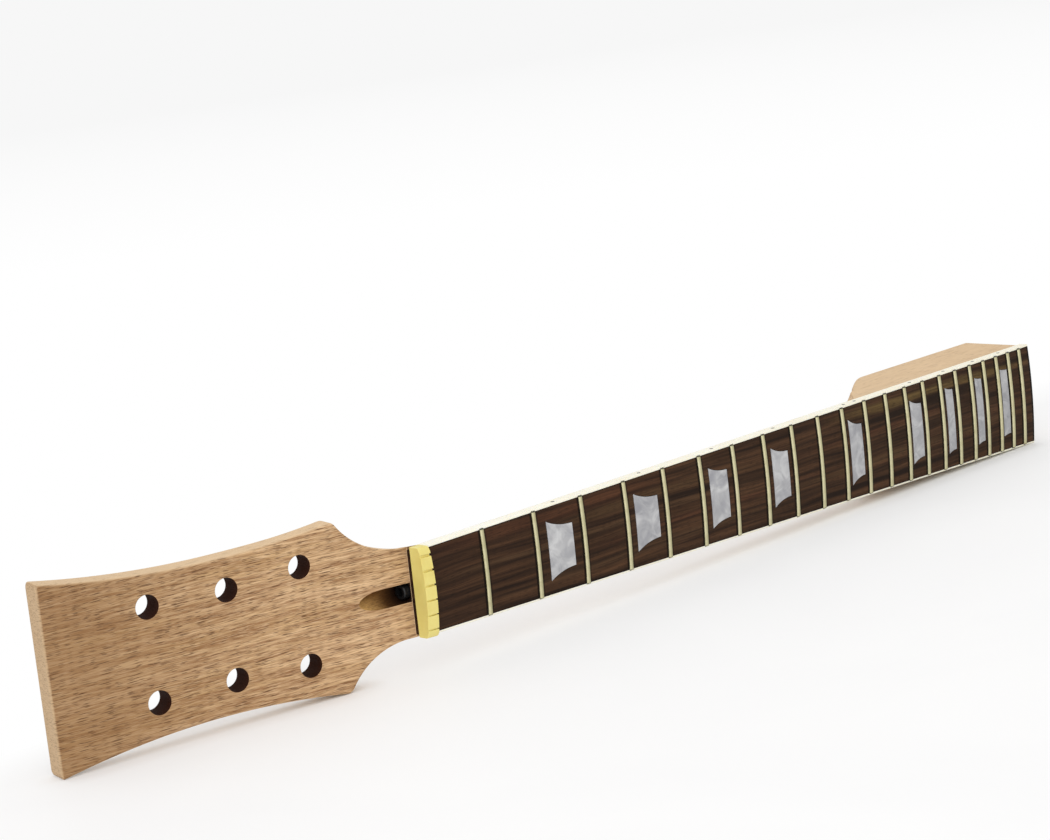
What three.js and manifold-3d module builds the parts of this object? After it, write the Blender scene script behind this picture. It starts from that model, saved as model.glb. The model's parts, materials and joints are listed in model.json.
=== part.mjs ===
// Neck of an electric guitar, unfinished and without tuners, for a left-handed player.
// Lengths are in millimetres. The pieces are drawn in the neck's own directions: +x from the
// nut towards the body, +y across the board towards the bass edge, +z out of the board's face.
// x = 0 is the line where the strings leave the nut, z = 0 the crown of the fingerboard.
// At the end the whole neck is turned to lie on its treble edge, as it rests on a table.

import * as THREE from "three";
import { mergeVertices } from "three/addons/utils/BufferGeometryUtils.js";
import Module from "manifold-3d";

const wasm = await Module();
wasm.setup();

// Fits shared by all pieces
const seat_gap = 0.3;
const cut_overrun = 2.0;

// Scale and fingerboard
const scale_length = 628.65;
const notes_per_octave = 12;
const fret_count = 22;
const board_past_last_fret = 8.9;
const board_thickness = 6.4;
const board_radius = 305;
const board_width_at_nut = 41.3;
const board_width_at_last_fret = 56.3;
const binding_thickness = 1.0;
const crown_steps = 12;

// Frets
const fret_width = 2.5;
const fret_crown = 1.0;
const fret_end_angle = THREE.MathUtils.degToRad(30);
const fret_end_inset = 0.5;
const tang_thickness = 0.6;
const tang_depth = 1.8;
const tang_root_share = 0.4;
const fret_crown_steps = 6;
const fret_run_steps = 6;

// Nut
const nut_width = 42.3;
const nut_thickness = 5.8;
const nut_seat_depth = 4.7;
const nut_rise = 4.6;
const nut_crown_radius = 120;
const nut_corner = 2.0;
const nut_back_fall = 0.9;
const string_spread = 34.4;
const string_slot_depth = 1.3;
const string_slot_widths = [0.6, 0.7, 0.8, 0.95, 1.1, 1.3];

// Position markers
const inlay_frets = [3, 5, 7, 9, 12, 15, 17, 19, 21];
const inlay_length_shares = [0.53, 0.58, 0.53, 0.56, 0.55, 0.59, 0.45, 0.46, 0.55];
const inlay_long_side_shares = [0.69, 0.66, 0.68, 0.66, 0.72, 0.69, 0.71, 0.715, 0.715];
const inlay_short_side_shares = [0.5, 0.48, 0.54, 0.51, 0.565, 0.58, 0.65, 0.67, 0.68];
const inlay_bow_share = 0.43;
const inlay_depth = 2.0;
const double_dot_fret = 12;
const side_dot_radius = 1.0;
const side_dot_length = 3.0;
const side_dot_depth_share = 0.5;
const double_dot_spacing = 9.0;

// Neck shaft and heel
const neck_depth_at_nut = 21.3;
const neck_depth_at_heel = 24.0;
const heel_depth = 44;
const heel_length = 94.5;
const heel_setback = 2.0;
const heel_ramp_length = 56;
const heel_ramp_shares = [
  [0, 0], [0.1, 0.02], [0.2, 0.17], [0.3, 0.31], [0.43, 0.475], [0.56, 0.625], [0.68, 0.75],
  [0.8, 0.869], [0.88, 0.941], [0.94, 0.982], [0.975, 0.997], [1, 1],
];
const shaft_edge = 0.3;
const heel_corner = 2.0;
const heel_side_inset = 0.3;
const shaft_lean = THREE.MathUtils.degToRad(20);
const shaft_flat_share = 0.06;
const flank_curve_steps = 8;

// Headstock
const head_angle = THREE.MathUtils.degToRad(11);
const head_length = 177.4;
const head_root_thickness = 14.5;
const head_tip_thickness = 12.4;
const head_thinning_length = 45;
const head_tip_width = 85.6;
const head_wing_width = 79.4;
const head_side_hollow = 6.05;
const head_drift = 0.8;
const head_edge = 0.8;
const head_tip_round = 1.6;
const head_shoulder_radius = 39;
const head_shoulder_start = 2.4;
const head_wing_round = 0.6;
const head_blend_length = 30;
const tuner_hole_radius = 5.4;
const tuner_hole_places = [128.8, 91.0, 54.6];
const tuner_hole_insets = [15.0, 14.8, 14.7];
const tuner_rows_shift = 1.1;

// Truss rod and its channel
const rod_axis_depth = 5.0;
const rod_radius = 2.0;
const rod_end = 428;
const bar_width = 6.0;
const bar_thickness = 1.6;
const rod_nut_radius = 3.6;
const rod_nut_length = 9.0;
const rod_nut_front = 8.4;
const rod_nut_hold = 3.5;
const hex_across_flats = 4.0;
const hex_depth = 4.5;
const rod_block_length = 9.0;
const rod_block_start = 2.5;
const rod_block_width = 6.8;
const rod_block_reach = 3.4;
const access_radius = 4.5;
const access_reach = 27.2;
const access_angle = THREE.MathUtils.degToRad(20);
const access_height = 7.0;
const access_steps = 12;
const round_steps = 24;
const small_round_steps = 16;

// Sizes that follow from the ones above
const fretPlace = (n) => scale_length * (1 - 2 ** (-n / notes_per_octave));
const last_fret = fretPlace(fret_count);
const board_end = last_fret + board_past_last_fret;
const half_taper = (board_width_at_last_fret - board_width_at_nut) / (2 * last_fret);
const outerHalf = (x) => board_width_at_nut / 2 + half_taper * x;
const coreHalf = (x) => outerHalf(x) - binding_thickness - seat_gap;
const neck_top = -(board_thickness + seat_gap);
const rod_axis = neck_top - rod_axis_depth;
const mix = (a, b, share) => a + (b - a) * share;

// Turns a closed three.js geometry into a solid, and back
function solidOf(geometry, matrix) {
  const plain = geometry.clone();
  plain.deleteAttribute("normal");
  plain.deleteAttribute("uv");
  if (matrix) plain.applyMatrix4(matrix);
  const merged = mergeVertices(plain, 1e-5);
  return new wasm.Manifold(new wasm.Mesh({
    numProp: 3,
    vertProperties: new Float32Array(merged.attributes.position.array),
    triVerts: new Uint32Array(merged.index.array),
  }));
}

function geometryOf(solid) {
  const mesh = solid.getMesh();
  const geometry = new THREE.BufferGeometry();
  geometry.setAttribute("position", new THREE.BufferAttribute(new Float32Array(mesh.vertProperties), 3));
  geometry.setIndex(new THREE.BufferAttribute(new Uint32Array(mesh.triVerts), 1));
  geometry.computeVertexNormals();
  return geometry;
}

// Skins a row of rings that all have the same number of points, with a flat cap at each end
function ringLoft(rings) {
  const count = rings[0].length;
  const points = rings.flat();
  const faces = [];
  for (let r = 0; r + 1 < rings.length; r += 1) {
    for (let i = 0; i < count; i += 1) {
      const a = r * count + i;
      const b = r * count + (i + 1) % count;
      faces.push(a, b, b + count, a, b + count, a + count);
    }
  }
  const last = (rings.length - 1) * count;
  for (let i = 1; i + 1 < count; i += 1) {
    faces.push(0, i + 1, i);
    faces.push(last, last + i, last + i + 1);
  }
  const geometry = new THREE.BufferGeometry().setFromPoints(points);
  geometry.setIndex(faces);
  const centre = rings[0][0];
  let volume = 0;
  for (let f = 0; f < faces.length; f += 3) {
    const [a, b, c] = [0, 1, 2].map((k) => points[faces[f + k]].clone().sub(centre));
    volume += a.dot(b.cross(c));
  }
  if (volume < 0) {
    for (let f = 0; f < faces.length; f += 3) {
      [faces[f + 1], faces[f + 2]] = [faces[f + 2], faces[f + 1]];
    }
    geometry.setIndex(faces);
  }
  return solidOf(geometry);
}

function boxSolid(low, high) {
  const size = high.clone().sub(low);
  const centre = low.clone().add(high).multiplyScalar(0.5);
  const matrix = new THREE.Matrix4().makeTranslation(centre.x, centre.y, centre.z);
  return solidOf(new THREE.BoxGeometry(size.x, size.y, size.z), matrix);
}

// A round bar between two points
function barSolid(from, to, radius, steps) {
  const along = to.clone().sub(from);
  const turn = new THREE.Quaternion().setFromUnitVectors(
    new THREE.Vector3(0, 1, 0), along.clone().normalize());
  const centre = from.clone().add(to).multiplyScalar(0.5);
  const matrix = new THREE.Matrix4().compose(centre, turn, new THREE.Vector3(1, 1, 1));
  return solidOf(new THREE.CylinderGeometry(radius, radius, along.length(), steps), matrix);
}

// An outline in x and y, raised from one height to another
function prismSolid(outline, low, high) {
  const geometry = new THREE.ExtrudeGeometry(outline, { depth: high - low, bevelEnabled: false });
  return solidOf(geometry, new THREE.Matrix4().makeTranslation(0, 0, low));
}

// A point on the board's crowned face, or above it, at a place across the board
function crownPoint(x, across, above) {
  const reach = board_radius + above;
  const angle = Math.asin(across / reach);
  return new THREE.Vector3(x, across, reach * Math.cos(angle) - board_radius);
}

// A long block with a flat underside and the board's crowned face
function crownedBlock(from, to, low) {
  const half = outerHalf(board_end) + cut_overrun;
  const ring = (x) => {
    const points = [];
    for (let i = 0; i <= crown_steps; i += 1) {
      points.push(crownPoint(x, mix(-half, half, i / crown_steps), 0));
    }
    points.push(new THREE.Vector3(x, half, low), new THREE.Vector3(x, -half, low));
    return points;
  };
  return ringLoft([ring(from), ring(to)]);
}

// One closed section of the neck's wood. It hangs from a point on the top face; "down" is the
// direction in which its depth is measured.
function woodRing({ x, z, tilt, half, depth, edge, side, lean, flat, drift = 0 }) {
  const down = new THREE.Vector3(Math.sin(tilt), 0, -Math.cos(tilt));
  const rise = (depth - side) / (1 - Math.sin(lean));
  const reach = (half - flat) / Math.cos(lean);
  const flank = [[half - edge, 0], [half, edge]];
  for (let i = 0; i <= flank_curve_steps; i += 1) {
    const angle = mix(lean, Math.PI / 2, i / flank_curve_steps);
    flank.push([flat + reach * Math.cos(angle), depth - rise + rise * Math.sin(angle)]);
  }
  const other = flank.map(([across, deep]) => [-across, deep]).reverse();
  return [...flank, ...other].map(([across, deep]) =>
    new THREE.Vector3(x, across + drift, z).addScaledVector(down, deep));
}

// The section's shape goes from the rounded grip (share 0) to a block with small corners (1)
function flankShape(half, depth, edge, corner, share) {
  return {
    half,
    depth,
    edge,
    side: mix(2 * edge, depth - corner, share),
    lean: mix(shaft_lean, 0, share ** 4),
    flat: mix(shaft_flat_share * half, half - corner, share ** 4),
  };
}

const smooth = (share) => {
  const t = Math.min(1, Math.max(0, share));
  return t * t * (3 - 2 * t);
};

// Half width of the headstock at a distance from the back of the nut
const nut_half = nut_width / 2;
const shoulder_drop = head_shoulder_radius - (head_wing_width / 2 - nut_half);
const wing_place = head_shoulder_start
  + Math.sqrt(head_shoulder_radius ** 2 - shoulder_drop ** 2);

function headHalf(place) {
  if (place <= head_shoulder_start) return nut_half;
  if (place < wing_place) {
    const run = place - head_shoulder_start;
    return nut_half + head_shoulder_radius - Math.sqrt(head_shoulder_radius ** 2 - run ** 2);
  }
  const share = (place - wing_place) / (head_length - wing_place);
  const chord = mix(head_wing_width, head_tip_width, share) / 2;
  return chord - head_side_hollow * (1 - (2 * share - 1) ** 2);
}

const headThickness = (place) =>
  mix(head_root_thickness, head_tip_thickness, smooth(place / head_thinning_length));

// The sawn outline drifts towards the bass edge between the nut and the tip
const headDrift = (place) => head_drift * Math.sin((Math.PI * place) / head_length);

// A point on the headstock: distance from the nut's back, place across, depth below its face
function headPoint(place, across, deep) {
  const cos = Math.cos(head_angle);
  const sin = Math.sin(head_angle);
  return new THREE.Vector3(
    -nut_thickness - place * cos + deep * sin, across, neck_top - place * sin - deep * cos);
}

function headRing(place, half) {
  const top = headPoint(place, 0, 0);
  const share = smooth(place / head_blend_length);
  const edge = mix(shaft_edge, head_edge, share);
  const shape = flankShape(half, headThickness(place), edge, head_edge, share);
  return woodRing({ x: top.x, z: top.z, tilt: head_angle, drift: headDrift(place), ...shape });
}

function headRings() {
  const tip = head_length;
  const turned = tip - head_tip_round * (1 - Math.SQRT1_2);
  const rings = [
    headRing(tip, headHalf(tip) - head_tip_round),
    headRing(turned, headHalf(turned) - head_tip_round * (1 - Math.SQRT1_2)),
  ];
  const side_steps = 10;
  const side_from = tip - head_tip_round;
  const side_to = wing_place + 2 * head_wing_round;
  for (let i = 0; i <= side_steps; i += 1) {
    const place = mix(side_from, side_to, i / side_steps);
    rings.push(headRing(place, headHalf(place)));
  }
  rings.push(headRing(wing_place, headHalf(wing_place) - head_wing_round));
  const shoulder_steps = 12;
  for (let i = 1; i < shoulder_steps; i += 1) {
    const share = Math.sin((Math.PI / 2) * (1 - i / shoulder_steps));
    const place = mix(head_shoulder_start, wing_place, share);
    rings.push(headRing(place, headHalf(place)));
  }
  return rings;
}

// From the ramp on, the flanks stand upright down to the ramp's line, and the back follows
// that line once it is deeper than the grip
function shaftRings() {
  const heel_end = board_end - heel_setback;
  const ramp_end = heel_end - heel_length;
  const ramp_start = ramp_end - heel_ramp_length;
  const gripDepth = (x) => mix(neck_depth_at_nut, neck_depth_at_heel, Math.min(1, x / ramp_start));
  const ring = (x, reach) => {
    const depth = Math.max(gripDepth(x), reach) + neck_top;
    const share = Math.max(0, Math.min(1, (reach + neck_top) / (gripDepth(x) + neck_top)));
    const half = outerHalf(x) - heel_side_inset * share;
    const shape = flankShape(half, depth, shaft_edge, heel_corner, share);
    shape.side = Math.min(Math.max(reach + neck_top, 2 * shaft_edge), depth - heel_corner);
    return woodRing({ x, z: neck_top, tilt: 0, ...shape });
  };
  const rings = [];
  const grip_steps = 6;
  for (let i = 0; i < grip_steps; i += 1) {
    rings.push(ring(mix(0, ramp_start, i / grip_steps), 0));
  }
  for (const [along, rise] of heel_ramp_shares) {
    rings.push(ring(mix(ramp_start, ramp_end, along), mix(-neck_top, heel_depth, rise)));
  }
  rings.push(ring(heel_end, heel_depth));
  return rings;
}

// The ring where the shaft turns into the headstock stands halfway between their directions
function bendRing() {
  const tilt = head_angle / 2;
  const shape = flankShape(nut_half, head_root_thickness, shaft_edge, head_edge, 0);
  return woodRing({ x: -nut_thickness, z: neck_top, tilt, ...shape });
}

function tunerHoles() {
  const holes = [];
  tuner_hole_places.forEach((place, i) => {
    const across = headHalf(place) - tuner_hole_insets[i];
    for (const sign of [1, -1]) {
      const middle = sign * across + tuner_rows_shift;
      const from = headPoint(place, middle, -cut_overrun);
      const to = headPoint(place, middle, headThickness(place) + cut_overrun);
      holes.push(barSolid(from, to, tuner_hole_radius, round_steps));
    }
  });
  return holes;
}

// The round-bottomed slot through which the hex key reaches the truss rod's nut: its floor
// slants down towards the nut and its walls stand square to the headstock's face
function accessSlot() {
  const ring = (place) => {
    const middle = (access_reach - place) * Math.tan(access_angle) - access_radius;
    const points = [headPoint(place, -access_radius, -access_height)];
    for (let i = 0; i <= access_steps; i += 1) {
      const angle = Math.PI * i / access_steps;
      const across = -access_radius * Math.cos(angle);
      points.push(headPoint(place, across, middle + access_radius * Math.sin(angle)));
    }
    points.push(headPoint(place, access_radius, -access_height));
    return points;
  };
  return ringLoft([ring(0), ring(access_reach + cut_overrun)]);
}

function rodChannel() {
  const pocket_front = new THREE.Vector3(-rod_nut_front - seat_gap, 0, rod_axis);
  const pocket_back = new THREE.Vector3(rod_block_start - seat_gap, 0, rod_axis);
  const pocket = barSolid(pocket_front, pocket_back, access_radius, round_steps);
  const half = Math.max(bar_width, rod_block_width, 2 * rod_radius) / 2 + seat_gap;
  const channel = boxSolid(
    new THREE.Vector3(rod_block_start - seat_gap, -half, rod_axis - rod_block_reach - seat_gap),
    new THREE.Vector3(rod_end + seat_gap, half, neck_top + cut_overrun));
  return pocket.add(channel);
}

function neckSolid() {
  let wood = ringLoft([...headRings(), bendRing(), ...shaftRings()]);
  for (const hole of tunerHoles()) wood = wood.subtract(hole);
  return wood.subtract(accessSlot()).subtract(rodChannel());
}

// Fret wire: a rounded crown on top of a thin tang, following the board's crown
function wireRings(x, profile, halfSpan, steps) {
  const rings = [];
  for (let i = 0; i <= steps; i += 1) {
    const share = 2 * i / steps - 1;
    rings.push(profile.map(([along, above]) => crownPoint(x + along, halfSpan(above) * share, above)));
  }
  return rings;
}

function fretSolid(n) {
  const x = fretPlace(n);
  const crown = [];
  for (let i = 0; i <= fret_crown_steps; i += 1) {
    const angle = Math.PI * i / fret_crown_steps;
    const above = seat_gap + (fret_crown - seat_gap) * Math.sin(angle);
    crown.push([fret_width / 2 * Math.cos(angle), above]);
  }
  const crownSpan = (above) => outerHalf(x) - fret_end_inset - above * Math.tan(fret_end_angle);
  const root = mix(seat_gap, fret_crown, tang_root_share);
  const half = tang_thickness / 2;
  const tang = [[half, root], [-half, root], [-half, -tang_depth], [half, -tang_depth]];
  const tangSpan = () => coreHalf(x) - seat_gap;
  const top = ringLoft(wireRings(x, crown, crownSpan, fret_run_steps));
  return top.add(ringLoft(wireRings(x, tang, tangSpan, fret_run_steps)));
}

function fretSlot(n) {
  const x = fretPlace(n);
  const half = tang_thickness / 2 + seat_gap;
  const low = -tang_depth - seat_gap;
  const profile = [[half, cut_overrun], [-half, cut_overrun], [-half, low], [half, low]];
  return ringLoft(wireRings(x, profile, () => coreHalf(x) + cut_overrun, fret_run_steps));
}

// A marker's outline: a trapezoid with its long side towards the nut and hollow ends
function inlayOutline(i, grow) {
  const n = inlay_frets[i];
  const centre = (fretPlace(n - 1) + fretPlace(n)) / 2;
  const length = inlay_length_shares[i] * (fretPlace(n) - fretPlace(n - 1)) + 2 * grow;
  const long_half = inlay_long_side_shares[i] * coreHalf(centre) + grow;
  const short_half = inlay_short_side_shares[i] * coreHalf(centre) + grow;
  const from = centre - length / 2;
  const to = centre + length / 2;
  const bow = mix(from, to, inlay_bow_share);
  const outline = new THREE.Shape();
  outline.moveTo(from, -long_half);
  outline.quadraticCurveTo(bow, -short_half, to, -short_half);
  outline.lineTo(to, short_half);
  outline.quadraticCurveTo(bow, short_half, from, long_half);
  outline.closePath();
  return outline;
}

function extruded(outline, low, high) {
  const geometry = new THREE.ExtrudeGeometry(
    outline, { depth: high - low, bevelEnabled: false, curveSegments: 4 });
  return solidOf(geometry, new THREE.Matrix4().makeTranslation(0, 0, low));
}

function inlaySolid(i) {
  const blank = extruded(inlayOutline(i, 0), -inlay_depth, cut_overrun);
  return blank.intersect(crownedBlock(0, board_end, -board_thickness));
}

const inlayPocket = (i) => extruded(inlayOutline(i, seat_gap), -inlay_depth - seat_gap, cut_overrun);

// Side dots: two at the octave, one at each of the other marked frets
const side_dots = inlay_frets.flatMap((n) => {
  const centre = (fretPlace(n - 1) + fretPlace(n)) / 2;
  if (n !== double_dot_fret) return [{ name: `side_dot_${n}`, x: centre }];
  return [
    { name: `side_dot_${n}_a`, x: centre - double_dot_spacing / 2 },
    { name: `side_dot_${n}_b`, x: centre + double_dot_spacing / 2 },
  ];
});

function dotBar(x, radius, inner, outer) {
  const z = -board_thickness * side_dot_depth_share;
  return barSolid(
    new THREE.Vector3(x, outerHalf(x) - inner, z), new THREE.Vector3(x, outerHalf(x) + outer, z),
    radius, small_round_steps);
}

const dotSolid = (x) => dotBar(x, side_dot_radius, side_dot_length, 0);
const dotHole = (x) => dotBar(
  x, side_dot_radius + seat_gap, side_dot_length + seat_gap, cut_overrun);

// Plan outline between two places along the neck and two half-width rules
function planStrip(from, to, low, high) {
  const outline = new THREE.Shape();
  outline.moveTo(from, low(from));
  outline.lineTo(to, low(to));
  outline.lineTo(to, high(to));
  outline.lineTo(from, high(from));
  outline.closePath();
  return outline;
}

function boardSolid() {
  const plan = planStrip(-nut_thickness, board_end, (x) => -coreHalf(x), coreHalf);
  let board = prismSolid(plan, -board_thickness, cut_overrun)
    .intersect(crownedBlock(-nut_thickness - cut_overrun, board_end + cut_overrun, -board_thickness));
  board = board.subtract(boxSolid(
    new THREE.Vector3(-nut_thickness - cut_overrun, -nut_width, -nut_seat_depth - seat_gap),
    new THREE.Vector3(seat_gap, nut_width, cut_overrun)));
  for (let n = 1; n <= fret_count; n += 1) board = board.subtract(fretSlot(n));
  inlay_frets.forEach((n, i) => { board = board.subtract(inlayPocket(i)); });
  for (const dot of side_dots) board = board.subtract(dotHole(dot.x));
  return board;
}

function bindingSolid(sign) {
  const outer = (x) => sign * outerHalf(x);
  const inner = (x) => sign * (outerHalf(x) - binding_thickness);
  const plan = sign > 0
    ? planStrip(seat_gap, board_end, inner, outer)
    : planStrip(seat_gap, board_end, outer, inner);
  let strip = prismSolid(plan, -board_thickness, cut_overrun)
    .intersect(crownedBlock(0, board_end + cut_overrun, -board_thickness));
  if (sign > 0) for (const dot of side_dots) strip = strip.subtract(dotHole(dot.x));
  return strip;
}

// Nut: a bar with a curved top that falls towards the headstock, and six string slots
const nutTop = (across) =>
  nut_rise - nut_crown_radius + Math.sqrt(nut_crown_radius ** 2 - across ** 2);

function nutSolid() {
  const half = nut_half;
  const shoulder = half - nut_corner;
  const outline = [[-half, -nut_seat_depth], [half, -nut_seat_depth], [half, nutTop(half) - nut_corner]];
  const corner_steps = 4;
  for (let i = 1; i < corner_steps; i += 1) {
    const angle = Math.PI / 2 * i / corner_steps;
    outline.push([
      shoulder + nut_corner * Math.cos(angle),
      nutTop(half) - nut_corner + nut_corner * Math.sin(angle),
    ]);
  }
  for (let i = 0; i <= crown_steps; i += 1) {
    const across = mix(shoulder, -shoulder, i / crown_steps);
    outline.push([across, nutTop(across)]);
  }
  for (let i = corner_steps - 1; i > 0; i -= 1) {
    const angle = Math.PI / 2 * i / corner_steps;
    outline.push([
      -shoulder - nut_corner * Math.cos(angle),
      nutTop(half) - nut_corner + nut_corner * Math.sin(angle),
    ]);
  }
  outline.push([-half, nutTop(half) - nut_corner]);
  const ring = (x, fall) => outline.map(([across, above]) =>
    new THREE.Vector3(x, across, above > 0 ? above - fall : above));
  let nut = ringLoft([ring(-nut_thickness, nut_back_fall), ring(0, 0)]);
  string_slot_widths.forEach((width, i) => {
    const across = string_spread * (i / (string_slot_widths.length - 1) - 1 / 2);
    const floor = nutTop(across) - string_slot_depth;
    nut = nut.subtract(boxSolid(
      new THREE.Vector3(-nut_thickness - cut_overrun, across - width / 2, floor),
      new THREE.Vector3(cut_overrun, across + width / 2, nut_rise + cut_overrun)));
  });
  return nut;
}

// Truss rod: a flat bar over a threaded rod, a block at each end, and the nut that turns the rod
const rod_nut_back = -rod_nut_front + rod_nut_length;

const rodSolid = () => barSolid(
  new THREE.Vector3(rod_nut_back - rod_nut_hold, 0, rod_axis),
  new THREE.Vector3(rod_end, 0, rod_axis), rod_radius, small_round_steps);

const rodBore = () => barSolid(
  new THREE.Vector3(rod_nut_back - rod_nut_hold - seat_gap, 0, rod_axis),
  new THREE.Vector3(rod_end + cut_overrun, 0, rod_axis), rod_radius + seat_gap, small_round_steps);

function rodNutSolid() {
  const body = barSolid(
    new THREE.Vector3(-rod_nut_front, 0, rod_axis), new THREE.Vector3(rod_nut_back, 0, rod_axis),
    rod_nut_radius, round_steps);
  const hex = barSolid(
    new THREE.Vector3(-rod_nut_front - cut_overrun, 0, rod_axis),
    new THREE.Vector3(-rod_nut_front + hex_depth, 0, rod_axis),
    hex_across_flats / Math.sqrt(3), 6);
  return body.subtract(hex).subtract(rodBore());
}

const bar_low = neck_top - seat_gap - bar_thickness;

function rodBlockSolid(from) {
  const block = boxSolid(
    new THREE.Vector3(from, -rod_block_width / 2, rod_axis - rod_block_reach),
    new THREE.Vector3(from + rod_block_length, rod_block_width / 2, bar_low - seat_gap));
  return block.subtract(rodBore());
}

const rodBarSolid = () => boxSolid(
  new THREE.Vector3(rod_block_start, -bar_width / 2, bar_low),
  new THREE.Vector3(rod_end, bar_width / 2, neck_top - seat_gap));

// Materials
const finish = (color, roughness, metalness) =>
  new THREE.MeshStandardMaterial({ color, roughness, metalness });

const mahogany = () => finish(0xb08a62, 0.75, 0);
const rosewood = () => finish(0x4b3527, 0.6, 0);
const cream = () => finish(0xe9e2c4, 0.4, 0);
const bone = () => finish(0xd9cd86, 0.45, 0);
const nickel = () => finish(0xc9c4a0, 0.3, 1);
const pearl = () => finish(0xb9b7c2, 0.3, 0);
const black = () => finish(0x1a1818, 0.5, 0);
const steel = () => finish(0x8c8c8c, 0.35, 1);
const blackSteel = () => finish(0x1c1c1e, 0.45, 1);

// Assembly
const lying = new THREE.Group();

function place(name, solid, material) {
  const mesh = new THREE.Mesh(geometryOf(solid), material);
  mesh.name = name;
  lying.add(mesh);
}

place("neck", neckSolid(), mahogany());
place("fingerboard", boardSolid(), rosewood());
place("binding_bass", bindingSolid(1), cream());
place("binding_treble", bindingSolid(-1), cream());
place("nut", nutSolid(), bone());
for (let n = 1; n <= fret_count; n += 1) {
  place(`fret_${String(n).padStart(2, "0")}`, fretSolid(n), nickel());
}
inlay_frets.forEach((n, i) => place(`inlay_${n}`, inlaySolid(i), pearl()));
for (const dot of side_dots) place(dot.name, dotSolid(dot.x), black());
place("truss_rod_nut", rodNutSolid(), blackSteel());
place("truss_rod", rodSolid(), steel());
place("truss_bar", rodBarSolid(), steel());
place("truss_block_head", rodBlockSolid(rod_block_start), steel());
place("truss_block_heel", rodBlockSolid(rod_end - rod_block_length), steel());

// The neck lies on three points of its treble edge: the headstock's tip, the corner of its
// lower wing, and the end of the board. Their plane becomes the table.
const trebleEdge = (place) => headPoint(place, headDrift(place) - headHalf(place), head_edge);
const tip_rest = trebleEdge(head_length - head_tip_round);
const wing_rest = trebleEdge(wing_place + 2 * head_wing_round);
const end_rest = crownPoint(board_end, -outerHalf(board_end), 0);
const up = wing_rest.clone().sub(tip_rest).cross(end_rest.clone().sub(wing_rest)).normalize();
const along = new THREE.Vector3(1, 0, 0).addScaledVector(up, -up.x).normalize();
const away = up.clone().cross(along);
lying.quaternion.setFromRotationMatrix(new THREE.Matrix4().makeBasis(along, away, up).transpose());

// The origin is on the table, under the middle of the neck's outer box
const neck_assembly = new THREE.Group();
neck_assembly.add(lying);
neck_assembly.updateMatrixWorld(true);
const bounds = new THREE.Box3().setFromObject(neck_assembly, true);
const middle = bounds.getCenter(new THREE.Vector3());
lying.position.set(-middle.x, -middle.y, -bounds.min.z);

export default neck_assembly;
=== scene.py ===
import bpy
import bmesh
import json
import math
from mathutils import Matrix, Vector


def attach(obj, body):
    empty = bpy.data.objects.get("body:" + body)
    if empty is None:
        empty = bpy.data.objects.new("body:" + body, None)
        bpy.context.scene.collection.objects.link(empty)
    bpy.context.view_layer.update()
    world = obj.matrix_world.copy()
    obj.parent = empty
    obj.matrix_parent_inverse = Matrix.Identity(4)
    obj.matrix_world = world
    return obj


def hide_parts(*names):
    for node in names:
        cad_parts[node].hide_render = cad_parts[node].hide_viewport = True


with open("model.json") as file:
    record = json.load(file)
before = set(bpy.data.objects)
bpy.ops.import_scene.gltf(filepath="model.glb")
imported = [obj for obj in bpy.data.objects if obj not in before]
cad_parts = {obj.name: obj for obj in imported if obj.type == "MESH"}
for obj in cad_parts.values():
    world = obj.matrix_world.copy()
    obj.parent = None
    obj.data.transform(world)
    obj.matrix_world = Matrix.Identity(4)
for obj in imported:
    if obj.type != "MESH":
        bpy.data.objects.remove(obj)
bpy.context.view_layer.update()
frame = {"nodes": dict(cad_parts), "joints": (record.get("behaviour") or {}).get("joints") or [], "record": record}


# Camera
# It stands before and left of the headstock, a little above the table, and looks along the
# fingerboard towards the heel. The photographer held it slightly turned about its own axis.
camera_place = Vector((-0.91869, -0.94867, 0.32544))
camera_aim = Vector((-0.06973, -0.02597, 0.10104))
camera_roll = math.radians(-7.9546)
camera_lens = 93.886


def put(name, data):
    """Puts a new object in the scene."""
    thing = bpy.data.objects.new(name, data)
    bpy.context.scene.collection.objects.link(thing)
    return thing


def aimed(place, aim):
    """The matrix of a camera or a lamp that looks from its place at an aim."""
    return Matrix.Translation(place) @ (aim - place).to_track_quat("-Z", "Y").to_matrix().to_4x4()


camera_data = bpy.data.cameras.new("camera")
camera_data.lens = camera_lens
camera_data.sensor_width = 36
camera_data.sensor_fit = "HORIZONTAL"
camera_data.clip_end = 100
camera = put("camera", camera_data)
camera.matrix_world = aimed(camera_place, camera_aim) @ Matrix.Rotation(camera_roll, 4, "Z")
bpy.context.scene.camera = camera
bpy.context.scene.view_settings.view_transform = "Standard"


# Table and studio light
# A matt white table that runs out into a white room. It shines softly by itself, but less where
# the neck lies close over it. A large soft lamp hangs over the neck, a stronger one stands before
# it on the left, and the white room fills the rest.
white = (1, 1, 1, 1)
table_white = (0.94, 0.935, 0.93, 1.0)
table_shade = (0.90, 0.895, 0.895, 1.0)
table_half = 6.0
table_fade_from = 0.7
table_fade_to = 1.6
table_far_from = 2.0
table_far_to = 5.5
table_behind_to = 0.08
table_own_light = 0.45
table_closed_in = 0.4
table_reach = 0.014
room_strength = 0.78
room_seen = 0.93
lamps = [
    ("overhead_lamp", Vector((-0.1, 0.15, 1.5)), 1.6, 3.5),
    ("front_lamp", Vector((-1.1, -1.2, 1.0)), 1.4, 9.0),
]


def feed(tree, node, inputs):
    """Links each input that is given a socket, and sets each that is given a value."""
    for name, value in inputs.items():
        if isinstance(value, bpy.types.NodeSocket):
            tree.links.new(value, node.inputs[name])
        else:
            node.inputs[name].default_value = value


def fit(tree, kind, inputs=None, **settings):
    """Adds a node with its settings and inputs, and returns its outputs."""
    node = tree.nodes.new(kind)
    for name, value in settings.items():
        setattr(node, name, value)
    feed(tree, node, inputs or {})
    return node.outputs


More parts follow.
